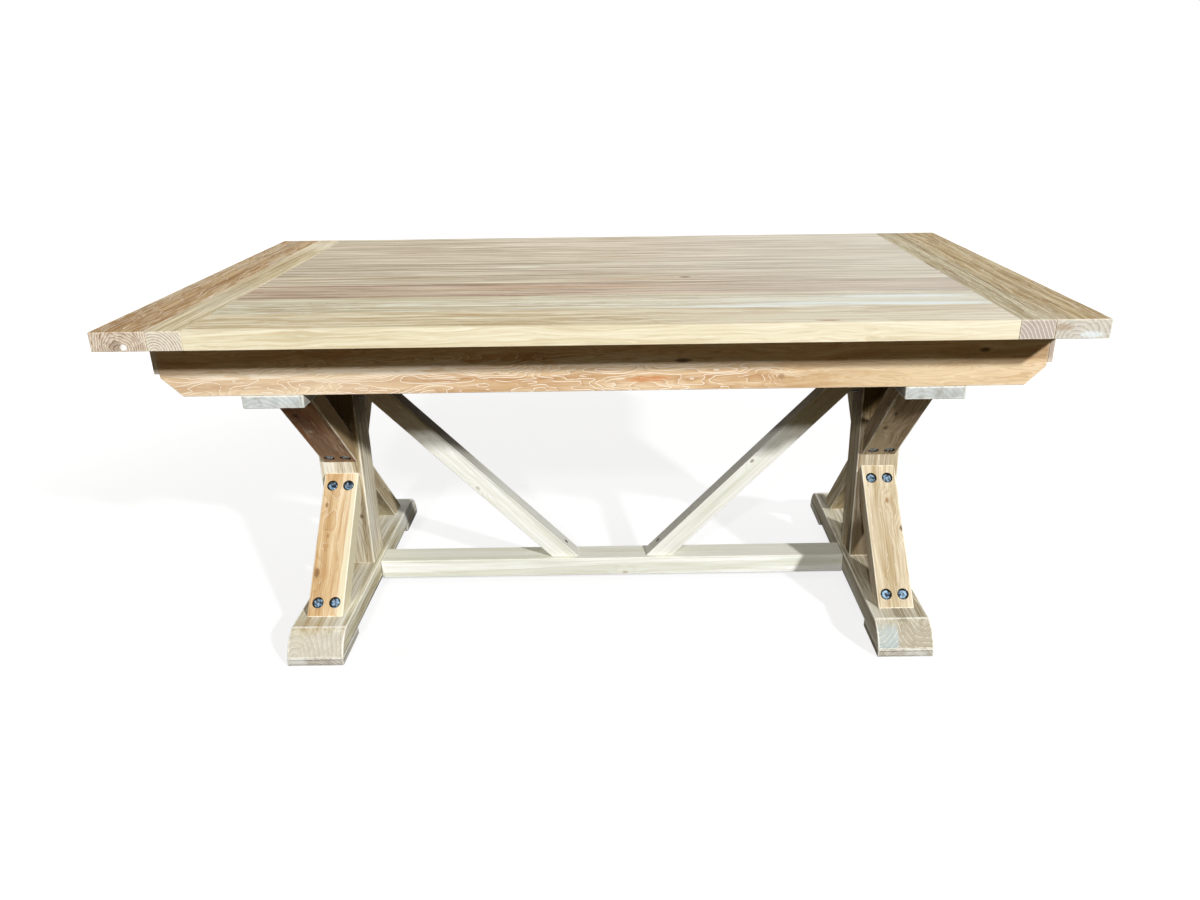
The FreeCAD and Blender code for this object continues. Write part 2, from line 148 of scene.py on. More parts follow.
# wood: rings round a pith line, bent by a slow sway, with limed contour lines, streaks, worn edges and
# painted shade in recesses
woodBase = {
    "along": "x",            # way of the grain
    "slope": 0.0,            # degrees, for a sloping piece
    "lean": (0.0, 0.6),      # degrees the pith leans across the face
    "pith": (0, 0, 0),       # millimetres, a point of the pith line
    "rings": 150.0,          # per metre
    "sway": 0.012,           # metres the rings wander
    "swayLength": (1.6, 9.0),
    "jag": 0.3,              # rings that the ragged edge spans
    "tones": ((150, 130, 100), (190, 170, 135), (215, 200, 170)),
    "streak": (1.6, 42.0),   # per metre along and across
    "streakSpan": (0.36, 0.64),
    "late": (140, 110, 75), "lateDepth": 0.35,
    "fibre": (9.0, 380.0), "fibreDepth": 0.3,
    "lime": (245, 238, 220), "limeDepth": 0.3, "limeBreak": (0.4, 0.6), "limeArea": None,
    "limeWidth": 0.9,        # millimetres from a ring
    "patch": (190, 188, 175), "patchDepth": 0.25, "patchSize": (3.0, 14.0),
    "worn": (238, 232, 214), "wornDepth": 0.5,
    "end": (205, 190, 165), "endDepth": 0.35, "endRings": 0.65, "endWhole": 0.0, "endSpan": (0.55, 0.85),
    "rough": 0.76,
    "marks": (),
}
woodGrain = {                # shared by all wood
    "turns": {"x": (0, 0, 0), "y": (0, 0, -90), "z": (0, 90, 0)},
    "shift": (3.71, 1.93, 2.37),               # moves the clouds on for each finish
    "slopeStep": 0.0005,                       # metres
    "pushFade": -0.12,
    "jagCloud": (70, 260), "poreCloud": (22, 120),
    "lateRamp": ((0.0, 0.75), (0.1, 0.0), (0.55, 0.25), (1.0, 1.0)),
    "limeCore": 0.4, "areaCore": 0.7,
    "patchSpan": (0.5, 0.68), "darkSpan": (0.5, 0.33), "lightSpan": (0.52, 0.7),
    "endFibre": 0.9,                           # share of the fibres that end grain loses
    "rubShare": 1.2, "rubSpan": (1.1, 1.75),
    # recess values: painted shade laid over the walls of recesses
    "recessShadeSpan": (0.0, -0.8), "recessShadeDepth": 0.85, "recessShadeTone": (44, 33, 26),
    "roughSpan": 0.22, "specular": 0.06,
    "bumpStrength": 0.35, "bumpDistance": 0.0008, "ringBump": -0.35,
}
finishCount = [0]


def mark(at, size, paint, depth, ragged=0.5, core=0.4, push=0.0):  # a knot, crack or patch, and also painted shade and sheen, in millimetres
    return {"at": at, "size": size, "tone": paint, "depth": depth, "ragged": ragged, "core": core,
            "push": push}


def grainTurn(look):
    if look["along"] == "yz":      # braces across the table
        turn = (-look["slope"], 0, -90)
    elif look["along"] == "xz":    # sloping braces along the table
        turn = (0, look["slope"], 0)
    else:
        turn = woodGrain["turns"][look["along"]]
    flat = Euler([math.radians(angle) for angle in turn]).to_matrix()
    lean = Euler((0, math.radians(look["lean"][0]), math.radians(look["lean"][1]))).to_matrix()
    return lean @ flat


def inGrain(look, point):  # from millimetres of the piece to metres from the pith
    return grainTurn(look) @ (Vector(point) / 1000 - Vector(look["pith"]) / 1000)


def grainSpace(tree, look):  # place and normal, with the grain along X
    coords = tree.nodes.new("ShaderNodeTexCoord")
    origin = inGrain(look, (0, 0, 0))
    found = []
    for output, way, offset in (("Object", "POINT", origin), ("Normal", "VECTOR", (0, 0, 0))):
        mapping = tree.nodes.new("ShaderNodeMapping")
        mapping.inputs["Rotation"].default_value = grainTurn(look).to_euler()
        mapping.inputs["Location"].default_value = offset
        mapping.vector_type = way
        tree.links.new(coords.outputs[output], mapping.inputs["Vector"])
        found.append(mapping.outputs["Vector"])
    return found


def grainCloud(tree, place, stretch, shift, detail=2.0, output="Fac"):
    along, across = stretch  # per metre
    return cloud(tree, place, (along, across, across), shift, detail, output)


def fromMark(tree, look, grain, spot):  # 1 at the edge of a mark
    size = [1000 / side for side in spot["size"]]
    away = vector(tree, "SUBTRACT", grain, inGrain(look, spot["at"]))
    return vector(tree, "LENGTH", vector(tree, "MULTIPLY", away, size))


def ringField(tree, look, grain, shift):  # counts the rings out from the pith
    sway = look["sway"]
    swayCloud = grainCloud(tree, grain, look["swayLength"], shift, output="Color")
    offset = vector(tree, "MULTIPLY_ADD", swayCloud, (0, 2 * sway, 2 * sway), (0, -sway, -sway))
    bent = vector(tree, "ADD", grain, offset)
    radius = vector(tree, "LENGTH", vector(tree, "MULTIPLY", bent, (0, 1, 1)))
    field = number(tree, "MULTIPLY", radius, look["rings"])
    for spot in look["marks"]:
        if spot["push"]:
            away = fromMark(tree, look, grain, spot)
            square = number(tree, "MULTIPLY", away, away)
            near = number(tree, "EXPONENT", number(tree, "MULTIPLY", square, woodGrain["pushFade"]))
            field = number(tree, "MULTIPLY_ADD", near, spot["push"], field)
    return field, bent


def ringSlope(tree, look, grain, normal, shift, field):  # rings per metre along the surface
    step = woodGrain["slopeStep"]
    climb = tree.nodes.new("ShaderNodeCombineXYZ")
    for axis in range(3):
        move = [step if other == axis else 0.0 for other in range(3)]
        moved = ringField(tree, look, vector(tree, "ADD", grain, move), shift)[0]
        tree.links.new(number(tree, "SUBTRACT", moved, field), climb.inputs[axis])
    slope = climb.outputs[0]
    through = vector(tree, "DOT_PRODUCT", slope, normal)
    whole = vector(tree, "DOT_PRODUCT", slope, slope)
    square = number(tree, "SUBTRACT", whole, number(tree, "MULTIPLY", through, through))
    return number(tree, "MULTIPLY", number(tree, "SQRT", number(tree, "MAXIMUM", square, 1e-6)), 1 / step)


def coat(tree, colour, mask, depth, paint):  # lays a tone over a colour
    return blendColour(tree, number(tree, "MULTIPLY", mask, depth), colour, tone(*paint))


def woodFinish(name, **changes):
    look = dict(woodBase, **changes)
    finishCount[0] += 1
    shift = [finishCount[0] * part for part in woodGrain["shift"]]
    material = bpy.data.materials.new(name)
    material.use_nodes = True
    tree = material.node_tree
    shader = tree.nodes["Principled BSDF"]
    grain, normal = grainSpace(tree, look)

    # rings, and how far each point lies from the nearest one
    field, bent = ringField(tree, look, grain, shift)
    slope = ringSlope(tree, look, grain, normal, shift, field)
    jagCloud = grainCloud(tree, grain, woodGrain["jagCloud"], shift)
    saw = number(tree, "FRACT", number(tree, "MULTIPLY_ADD", jagCloud, look["jag"], field))
    nearest = number(tree, "MINIMUM", saw, number(tree, "SUBTRACT", 1.0, saw))
    ringGap = number(tree, "DIVIDE", nearest, slope)
    late = ramp(tree, saw, [(place, grey(level)) for place, level in woodGrain["lateRamp"]])
    poreBreak = grainCloud(tree, grain, woodGrain["poreCloud"], shift)
    limeEdge = look["limeWidth"] / 1000
    lime = rise(tree, ringGap, limeEdge, limeEdge * woodGrain["limeCore"])
    if look["limeArea"]:
        inArea = rise(tree, fromMark(tree, look, grain, look["limeArea"]), 1.0, woodGrain["areaCore"])
        lime = number(tree, "MULTIPLY", lime, inArea)

    # end grain shows its rings more, and its lime lines can run on
    turned = vector(tree, "DOT_PRODUCT", normal, (1, 0, 0))
    endFace = rise(tree, number(tree, "ABSOLUTE", turned), *look["endSpan"])
    whole = number(tree, "MULTIPLY", endFace, look["endWhole"])
    unbroken = number(tree, "MAXIMUM", rise(tree, poreBreak, *look["limeBreak"]), whole)
    lime = number(tree, "MULTIPLY", lime, unbroken)
    lateSpan = look["endRings"] - look["lateDepth"]
    lateDepth = number(tree, "MULTIPLY_ADD", endFace, lateSpan, look["lateDepth"])
    fibreLoss = -woodGrain["endFibre"] * look["fibreDepth"]
    fibreDepth = number(tree, "MULTIPLY_ADD", endFace, fibreLoss, look["fibreDepth"])

    streak = grainCloud(tree, bent, look["streak"], shift, 3.0)
    fibre = grainCloud(tree, bent, look["fibre"], shift, 3.0)
    patch = rise(tree, grainCloud(tree, grain, look["patchSize"], shift, 3.0), *woodGrain["patchSpan"])
    low, high = look["streakSpan"]
    steps = len(look["tones"]) - 1
    stops = [(low + (high - low) * index / steps, tone(*paint)) for index, paint in enumerate(look["tones"])]
    colour = ramp(tree, streak, stops)
    colour = coat(tree, colour, endFace, look["endDepth"], look["end"])
    colour = coat(tree, colour, late, lateDepth, look["late"])
    colour = coat(tree, colour, rise(tree, fibre, *woodGrain["darkSpan"]), fibreDepth, look["late"])
    colour = coat(tree, colour, rise(tree, fibre, *woodGrain["lightSpan"]), fibreDepth, look["lime"])
    colour = coat(tree, colour, patch, look["patchDepth"], look["patch"])
    colour = coat(tree, colour, lime, look["limeDepth"], look["lime"])

    # marks: knots, filled cracks, pale patches, painted shade and painted sheen, each at a point of the piece
    for spot in look["marks"]:
        away = number(tree, "MULTIPLY_ADD", jagCloud, spot["ragged"], fromMark(tree, look, grain, spot))
        mask = rise(tree, number(tree, "SUBTRACT", away, spot["ragged"] * 0.5), 1.0, spot["core"])
        colour = coat(tree, colour, mask, spot["depth"], spot["tone"])

    # pale rubbed edges, and painted shade darkening the walls of recesses
    edge = tree.nodes.new("ShaderNodeAttribute")
    edge.attribute_name = "wearAndShade"
    rub = number(tree, "MULTIPLY_ADD", poreBreak, woodGrain["rubShare"], edge.outputs["Fac"])
    colour = coat(tree, colour, rise(tree, rub, *woodGrain["rubSpan"]), look["wornDepth"], look["worn"])
    # painted shade in recesses, darkest where the attribute reaches -1
    recessShade = rise(tree, edge.outputs["Fac"], *woodGrain["recessShadeSpan"])
    colour = coat(tree, colour, recessShade, woodGrain["recessShadeDepth"], woodGrain["recessShadeTone"])
    tree.links.new(colour, shader.inputs["Base Color"])

    roughLow = look["rough"] - woodGrain["roughSpan"] / 2
    rough = number(tree, "MULTIPLY_ADD", fibre, woodGrain["roughSpan"], roughLow)
    tree.links.new(rough, shader.inputs["Roughness"])
    shader.inputs["Specular IOR Level"].default_value = woodGrain["specular"]
    height = number(tree, "MULTIPLY_ADD", saw, woodGrain["ringBump"], fibre)
    addBump(tree, shader, height, woodGrain["bumpStrength"], woodGrain["bumpDistance"])
    return material


# dressing: a copy of a CAD node, its flat faces whole again and its edges eased
easing = {
    "weld": 0.00002, "flat": 0.5,           # metres and degrees, to make split faces whole
    "crease": 12.0,                         # degrees between two sides
    "leastFace": 0.0005,                    # square metres, smaller sides belong to recesses
    "steps": 3, "wearWidth": 0.0028, "reach": 0.0001,
    "smooth": 0.77, "easedShare": 0.02,     # least cosine, and weight of eased edges, in a corner's normal
}


def flatGroups(faces):
    crease = math.radians(easing["crease"])
    left = set(faces)
    groups = []
    for first in list(faces):  # in the order of the mesh, so that each run is the same
        if first not in left:
            continue
        left.remove(first)
        group = [first]
        for face in group:
            for edge in face.edges:
                for other in edge.link_faces:
                    if other in left and other.normal.angle(face.normal, 1.0) < crease:
                        left.remove(other)
                        group.append(other)
        groups.append(group)
    return groups


def isLarge(group):
    return sum(face.calc_area() for face in group) > easing["leastFace"]


def outerEdges(work):  # sharp edges between two large faces, so not those of holes
    work.normal_update()
    large = set()
    for group in flatGroups(work.faces):
        if isLarge(group):
            large.update(group)
    found = []
    for edge in work.edges:
        if len(edge.link_faces) == 2 and edge.is_convex and all(face in large for face in edge.link_faces):
            if edge.calc_face_angle(0.0) > math.radians(easing["crease"]):
                found.append(edge)
    return found


def easeEdges(work, edges, roundness):
    if not edges:
        return []
    made = bmesh.ops.bevel(work, geom=edges, offset=roundness, offset_type="OFFSET", affect="EDGES",
                           segments=easing["steps"], profile=0.5, material=-1, clamp_overlap=True)
    return made["faces"]


def onRim(edge):  # on the outside of the table top
    for axis in (0, 1):
        limit = cadBox[1][axis] - easing["reach"]
        if all(abs(vert.co[axis]) > limit for vert in edge.verts):
            return True
    return False


def onGlueLine(edge, glueLine):  # a joint between two boards that share an X place, left or right
    return glueLine and all(abs(abs(vert.co.x) - glueLine) < easing["reach"] for vert in edge.verts)


def cornerNormals(work, kind):  # flat faces stay flat, eased edges turn smoothly between them
    normals = []
    for face in work.faces:
        for loop in face.loops:
            total = Vector()
            for other in loop.vert.link_faces:
                if other.normal.dot(face.normal) > easing["smooth"]:
                    share = easing["easedShare"] if other[kind] == 1 else 1.0
                    total += other.normal * other.calc_area() * share
            normals.append(total.normalized())
    return normals


def markWearAndShade(work, kind, wearAndShade):  # 1 on eased edges for pale wear, -1 all over the walls of recesses for painted shade
    for face in work.faces:
        recessShade = any(min(other[kind] for other in vert.link_faces) == 2 for vert in face.verts)
        for loop in face.loops:
            if face[kind] == 2:
                loop[wearAndShade] = -1.0 if recessShade else 0.0
            else:
                loop[wearAndShade] = 1.0 if any(other[kind] == 1 for other in loop.vert.link_faces) else 0.0


def dressNode(nodeName, finish, roundness, rimRoundness=None, glueLine=None):
    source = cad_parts[nodeName]
    work = bmesh.new()
    work.from_mesh(source.data)
    bmesh.ops.remove_doubles(work, verts=work.verts, dist=easing["weld"])
    bmesh.ops.dissolve_limit(work, angle_limit=math.radians(easing["flat"]), verts=work.verts,
                             edges=work.edges)
    # per corner: 1 where edges wear pale, -1 where recess walls get painted shade
    wearAndShade = work.loops.layers.float.new("wearAndShade")
    kind = work.faces.layers.int.new("kind")  # 1 on eased edges, 2 in recesses
    work.normal_update()
    for group in flatGroups(work.faces):
        if not isLarge(group):
            for face in group:
                face[kind] = 2
    edges = [edge for edge in outerEdges(work) if not onGlueLine(edge, glueLine)]
    if rimRoundness:
        rounded = easeEdges(work, [edge for edge in edges if onRim(edge)], rimRoundness)
        for face in rounded:
            face.tag = True
        edges = [edge for edge in outerEdges(work) if not any(face.tag for face in edge.link_faces)]
        easeEdges(work, edges, roundness)
    else:
        rounded = easeEdges(work, edges, roundness)
    for face in rounded:
        if face.is_valid:
            face[kind] = 1

    # a loop a little inside each side, where the wear of the edges ends
    work.normal_update()
    for group in flatGroups([face for face in work.faces if face[kind] == 0]):
        if isLarge(group):
            bmesh.ops.inset_region(work, faces=group, thickness=easing["wearWidth"], depth=0.0,
                                   use_boundary=True, use_even_offset=True)
    low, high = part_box(nodeName)  # nothing stands outside the node
    for vert in work.verts:
        vert.co = [min(max(value, least), most) for value, least, most in zip(vert.co, low, high)]
    work.normal_update()
    markWearAndShade(work, kind, wearAndShade)
    for face in work.faces:
        face.smooth = True
        face.material_index = 0
    normals = cornerNormals(work, kind)
    mesh = bpy.data.meshes.new(nodeName + "_dressed")
    work.to_mesh(mesh)
    work.free()
    mesh.normals_split_custom_set(normals)
    piece = bpy.data.objects.new(nodeName + "_dressed", mesh)
    scene.collection.objects.link(piece)
    mesh.materials.append(finish)
    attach(piece, "root")
    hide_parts(nodeName)


# field of the top, from the front board to the back one
fieldBoards = {
    "roundness": 0.00025, "rim": 0.0016, "firstY": -437.5, "width": 125,
    "grain": {"lean": (0.4, 0.5), "streak": (2.0, 88.0), "streakSpan": (0.37, 0.63), "fibre": (5.0, 300.0),
              "fibreDepth": 0.52, "patchDepth": 0.2, "patchSize": (1.4, 26.0), "wornDepth": 0.25},
    "tones": (
        ((180, 164, 126), (214, 205, 173), (233, 229, 206)),
        ((178, 165, 129), (210, 203, 174), (229, 226, 207)),
        ((142, 117, 97), (187, 168, 146), (212, 196, 174)),
        ((165, 151, 125), (205, 195, 171), (226, 219, 199)),
        ((160, 146, 123), (201, 192, 170), (224, 219, 201)),
        ((167, 149, 125), (206, 195, 172), (226, 219, 199)),
        ((165, 149, 125), (208, 197, 175), (230, 223, 205)),
        ((168, 152, 126), (212, 202, 180), (232, 226, 210)),
    ),
    "veil": ((188, 172, 134), (226, 220, 200), (206, 176, 148), (184, 164, 142), (180, 166, 150),
             (182, 164, 146), (186, 170, 150), (190, 174, 150)),
    "piths": (-52, 40, 90, -40, 70, -90, 30, 60),
    "depths": (748, 690, 690, 690, 690, 690, 690, 690),
    "rings": (  # of the front board, the next one and all others
        {"late": (176, 138, 84), "lateDepth": 0.5, "sway": 0.02, "swayLength": (3.5, 14), "limeDepth": 0.5,
         "limeWidth": 0.8},
        {"late": (146, 116, 88), "lateDepth": 0.3, "lime": (240, 243, 234), "limeDepth": 0.8,
         "limeWidth": 1.8},
        {"late": (146, 116, 88), "lateDepth": 0.3, "limeDepth": 0.5, "limeWidth": 0.8},
    ),
    "marks": {
        1: (mark((0, -500, 762), (2600, 9, 60), (252, 245, 214), 0.42, 0.0, 0.8),
            mark((420, -452, 780), (520, 46, 30), (222, 218, 196), 0.45, 0.8, 0.0),
            mark((402, -483, 780), (30, 7, 8), (168, 120, 84), 0.6, 0.8)),
        2: (mark((280, -366, 780), (240, 17, 20), (232, 241, 243), 0.8, core=0.0),
            mark((420, -346, 780), (200, 13, 14), (230, 240, 240), 0.8, 0.4, 0.3),
            mark((580, -292, 780), (190, 15, 14), (232, 241, 241), 0.85, 0.4),
            mark((575, -326, 780), (130, 14, 14), (204, 202, 182), 0.6, push=4.0),
            mark((610, -358, 780), (200, 15, 14), (230, 240, 240), 0.85, 0.4),
            mark((-330, -335, 780), (110, 9, 14), (222, 214, 190), 0.3, push=3.5),
            mark((520, -318, 780), (420, 40, 30), (222, 224, 212), 0.55, 0.9, 0.0),
            mark((-250, -330, 780), (90, 3, 8), (242, 238, 220), 0.8)),
        3: (mark((-100, -170, 780), (420, 16, 30), (196, 156, 124), 0.5, 0.9, 0.0),
            mark((-520, -190, 780), (320, 12, 30), (146, 118, 100), 0.55, 0.9, 0.0)),
        4: (mark((173, -79, 780), (17, 7, 8), (92, 62, 42), 0.95, push=2.0),
            mark((60, -92, 780), (260, 9, 20), (194, 152, 112), 0.5, 0.9, 0.0)),
        5: (mark((-203, 64, 780), (60, 4, 8), (255, 254, 248), 0.95, 0.3, 0.8),),
    },
    # a paler, blue-grey area at the right of the top: partly the wood's own tone, partly painted sheen
    "palerAndSheen": {"size": (1000, 300, 60), "paint": (228, 227, 220), "depth": 0.42, "ragged": 0.3, "core": 0.0},
}
for index in range(8):
    nodeName = "field_board_%d" % (index + 1)
    middleY = fieldBoards["firstY"] + fieldBoards["width"] * index
    palerAndSheen = mark((760, middleY, 780), **fieldBoards["palerAndSheen"])
    finish = woodFinish(
        "fieldTeak%d" % (index + 1), tones=fieldBoards["tones"][index], patch=fieldBoards["veil"][index],
        pith=(0, middleY + fieldBoards["piths"][index], fieldBoards["depths"][index]),
        marks=(palerAndSheen,) + fieldBoards["marks"].get(index + 1, ()), **fieldBoards["grain"],
        **fieldBoards["rings"][min(index, 2)])
    dressNode(nodeName, finish, fieldBoards["roundness"], fieldBoards["rim"])
print("field boards done")

# cross planks at the ends of the top
endPlanks = {
    "roundness": 0.0005, "rim": 0.0018,
    "grain": {"along": "y", "wornDepth": 0.3, "streak": (2.4, 70), "endDepth": 0.9},
    "left_outer": {
        "pith": (-846, 0, 753), "rings": 200, "tones": ((158, 124, 82), (182, 152, 110), (200, 174, 134)),
        "late": (124, 86, 54), "lateDepth": 0.4, "limeDepth": 0.75, "limeWidth": 1.1,
        "limeBreak": (0.44, 0.56), "swayLength": (6, 26), "end": (226, 212, 194), "endRings": 0.95,
        "marks": (mark((-842, -500, 752), (60, 7, 6), (254, 253, 250), 1.0, 0.3, 0.8),
                  mark((-856, -500, 755), (60, 16, 12), (104, 76, 54), 0.4, 0.6)),
    },
    "left_inner": {
        "pith": (-782, 0, 744), "rings": 210, "tones": ((180, 162, 120), (212, 199, 162), (230, 219, 187)),
        "late": (132, 100, 66), "lateDepth": 0.3, "limeDepth": 0.6, "limeWidth": 1.0, "sway": 0.006,
        "end": (241, 236, 222), "endRings": 0.85,
        "marks": (mark((-769, 400, 780), (120, 420, 40), (238, 232, 212), 0.5, 0.4, 0.0),),
    },
    "right_inner": {
        "pith": (720, 0, 720), "tones": ((150, 132, 98), (180, 170, 140), (198, 190, 164)),
        "late": (130, 102, 72), "lateDepth": 0.3, "limeDepth": 0.7, "limeWidth": 1.1,
        "limeBreak": (0.46, 0.6), "sway": 0.016, "end": (184, 172, 168), "endRings": 0.25, "endWhole": 0.9,
    },
    "right_outer": {
        "pith": (846, 0, 742), "rings": 130, "tones": ((159, 136, 96), (186, 167, 130), (204, 189, 154)),
        "late": (120, 92, 56), "lateDepth": 0.5, "limeDepth": 0.5, "limeWidth": 1.3,
        "limeBreak": (0.42, 0.58), "swayLength": (5, 26), "end": (212, 210, 202), "endRings": 0.5,
        "marks": (mark((812, -500, 766), (40, 26, 9), (158, 124, 88), 0.5, 0.9),
                  mark((866, -500, 752), (40, 30, 8), (226, 236, 240), 0.7, 0.9)),
    },
}
for plank in ("left_outer", "left_inner", "right_inner", "right_outer"):
    finish = woodFinish(plank + "PlankTeak", **endPlanks["grain"], **endPlanks[plank])
    dressNode(plank + "_end_plank", finish, endPlanks["roundness"], endPlanks["rim"])
print("end planks done")

# apron: long boards with limed contour grain, and the end rails that lap over them
apronBoards = {
    "roundness": 0.0016,
    "grain": {"lean": (0.7, 0.9), "rings": 420, "sway": 0.021, "swayLength": (4.6, 27), "jag": 0.25,
              "tones": ((188, 145, 101), (223, 193, 153), (240, 218, 184)), "streakSpan": (0.3, 0.7),
              "late": (170, 119, 73), "lateDepth": 0.4, "lime": (255, 246, 230), "limeDepth": 1.0,
              "limeWidth": 0.85, "limeBreak": (0.33, 0.48), "patch": (226, 206, 176), "patchDepth": 0.2,
              "fibreDepth": 0.28, "wornDepth": 0.3},
    "limed": {"size": (760, 90, 62)},
    "front": (mark((341, -382, 646), (9, 7, 7), (150, 108, 70), 0.7, push=2.5),
              mark((729, -382, 693), (14, 6, 6), (70, 44, 22), 0.8, push=2.0),
              mark((152, -382, 680), (22, 6, 6), (60, 36, 18), 0.8, push=2.0),
              mark((83, -382, 644), (60, 5, 8), (206, 128, 66), 0.6, 0.9),
              mark((-632, -382, 648), (14, 10, 10), (214, 170, 120), 0.4, push=1.6),
              mark((-600, -382, 640), (420, 90, 70), (248, 232, 204), 0.4, core=0.0),
              mark((600, -382, 640), (460, 90, 70), (224, 208, 168), 0.4, core=0.0)),
    "back": (),
}
for end, side in (("front", -1), ("back", 1)):
    limed = dict(apronBoards["limed"], at=(-260, side * 382, 645))
    finish = woodFinish(end + "ApronTeak", pith=(60, side * 325, 637), limeArea=limed,
                        marks=apronBoards[end], **apronBoards["grain"])
    dressNode(end + "_apron", finish, apronBoards["roundness"])
endRails = {
    "roundness": 0.0016,
    "grain": {"along": "y", "rings": 140, "tones": ((164, 132, 96), (196, 164, 124), (212, 186, 148)),
              "late": (140, 104, 70), "limeDepth": 0.4, "endDepth": 0.85, "endRings": 0.3},
    # the left rail's paler end grain is partly painted light, lifting the end that lies in the top's shadow
    "left": {"pith": (-800, 0, 690), "end": (250, 238, 226)},
    "right": {"pith": (800, 0, 690), "end": (218, 204, 192)},
}
for side in ("left", "right"):
    finish = woodFinish(side + "RailTeak", **endRails["grain"], **endRails[side])
    dressNode(side + "_end_rail", finish, endRails["roundness"])
print("apron done")

# trestles: grey driftwood posts, feet and bearers, honey braces
bearers = {
    "roundness": 0.003,
    "grain": {"along": "y", "rings": 120, "late": (150, 148, 138), "lateDepth": 0.3, "lime": (246, 250, 250),
              "limeDepth": 0.6, "limeWidth": 0.3, "patch": (150, 148, 138), "patchDepth": 0.5,
              "patchSize": (10, 40), "endDepth": 0.7, "endRings": 0.4, "worn": (240, 240, 232),
              "wornDepth": 0.6},
    "left": {"pith": (-664, 0, 560), "tones": ((160, 158, 148), (204, 208, 204), (230, 236, 236)),
             "end": (214, 222, 224)},
    "right": {"pith": (624, 0, 560), "tones": ((144, 140, 128), (190, 194, 190), (216, 222, 222)),
              "end": (196, 202, 202)},
}
posts = {
    "roundness": 0.0022,
    "grain": {"along": "z", "rings": 130, "sway": 0.016, "swayLength": (3, 12), "late": (128, 106, 70),
              "lateDepth": 0.5, "limeDepth": 0.55, "patch": (214, 208, 192), "patchDepth": 0.35,
              "worn": (250, 246, 230), "wornDepth": 0.75, "streak": (2.2, 60), "fibre": (7, 300),
              "fibreDepth": 0.45},
    "left": {"pith": (-674, 30, 0), "tones": ((176, 158, 122), (226, 218, 193), (247, 244, 231)),
             # first mark: a darker top of the post, partly a less bleached tone, partly painted shade
             "marks": (mark((-644, 0, 575), (190, 160, 160), (84, 64, 32), 0.9, 0.3, 0.7),
                       mark((-610, -45, 196), (9, 6, 6), (110, 80, 50), 0.8, push=1.5))},
    "right": {"pith": (674, 30, 0), "tones": ((124, 102, 70), (190, 172, 138), (226, 216, 192)),
              # first mark: a darker top of the post, partly a less bleached tone, partly painted shade
              "marks": (mark((644, 0, 575), (190, 160, 160), (84, 64, 32), 0.9, 0.3, 0.7),
                        # painted shade low on the post's front, in the gap beside the lower brace
                        mark((610, -45, 90), (110, 50, 60), (106, 92, 70), 0.9, core=0.5))},
}
for side in ("left", "right"):
    finish = woodFinish(side + "BearerTeak", **bearers["grain"], **bearers[side])
    dressNode(side + "_bearer", finish, bearers["roundness"])
    finish = woodFinish(side + "PostTeak", **posts["grain"], **posts[side])
    dressNode(side + "_post", finish, posts["roundness"])
print("posts and bearers done")

feet = {
    "roundness": 0.0024, "glueLine": 0.629,
    "grain": {"along": "y", "late": (150, 132, 98), "lateDepth": 0.42, "swayLength": (3, 14),
              "limeDepth": 0.6, "limeBreak": (0.36, 0.56), "patch": (204, 198, 172), "patchDepth": 0.35,
              "endDepth": 0.85, "endSpan": (0.3, 0.6), "worn": (252, 250, 238), "wornDepth": 0.8,
              "streak": (2.6, 60), "fibre": (8, 300), "fibreDepth": 0.45},
    "tones": {"left": ((186, 176, 142), (229, 225, 200), (246, 245, 231)),
              "right": ((166, 158, 136), (204, 199, 180), (224, 222, 210))},
    "left": {"pith": (-684, 0, 22), "end": (202, 197, 185), "rings": 105, "endRings": 0.32, "sway": 0.008,
             "marks": (mark((-618, -384, 84), (34, 74, 30), (212, 176, 124), 0.6, core=0.2),
                       mark((-660, -330, 80), (60, 70, 30), (200, 166, 118), 0.55, core=0.2),
                       mark((-630, -404, 34), (18, 5, 9), (112, 84, 56), 0.7),
                       mark((-600, 290, 60), (170, 70, 60), (230, 235, 234), 0.78, core=0.1))},
    "right_inner": {"pith": (590, 0, 70), "end": (172, 186, 188), "rings": 110, "endRings": 0.12,
                    # painted shade on the inner face of the foot's back toe
                    "marks": (mark((599, 350, 60), (190, 14, 90), (92, 88, 80), 0.65, core=0.3),)},
    "right_outer": {"pith": (690, 0, 76), "end": (173, 166, 150), "rings": 120, "endRings": 0.34,
                    # painted shade on the foot's top in front of the post
                    "marks": (mark((650, -70, 70), (80, 70, 40), (142, 116, 82), 0.65),)},
}


def footFinish(name, side):
    return woodFinish(name + "FootTeak", tones=feet["tones"][side], **feet["grain"], **feet[name])


leftFoot = footFinish("left", "left")
for place in ("inner", "outer"):
    dressNode("left_foot_%s_board" % place, leftFoot, feet["roundness"],
              glueLine=feet["glueLine"])
    rightFoot = footFinish("right_" + place, "right")
    dressNode("right_foot_%s_board" % place, rightFoot, feet["roundness"],
              glueLine=feet["glueLine"])
pads = {
    "roundness": 0.002,
    "grain": {"along": "y", "rings": 160, "tones": ((150, 140, 120), (186, 180, 166), (214, 212, 204)),
              "late": (120, 112, 96), "end": (204, 200, 190), "endDepth": 0.6, "patch": (225, 228, 224),
              "patchDepth": 0.5, "worn": (236, 234, 226), "wornDepth": 0.6},
}
for side, middle in (("left", -644), ("right", 644)):
    finish = woodFinish(side + "PadTeak", pith=(middle, 0, -40), **pads["grain"])
    for end in ("front", "back"):
        dressNode("%s_%s_pad" % (side, end), finish, pads["roundness"])
print("feet done")

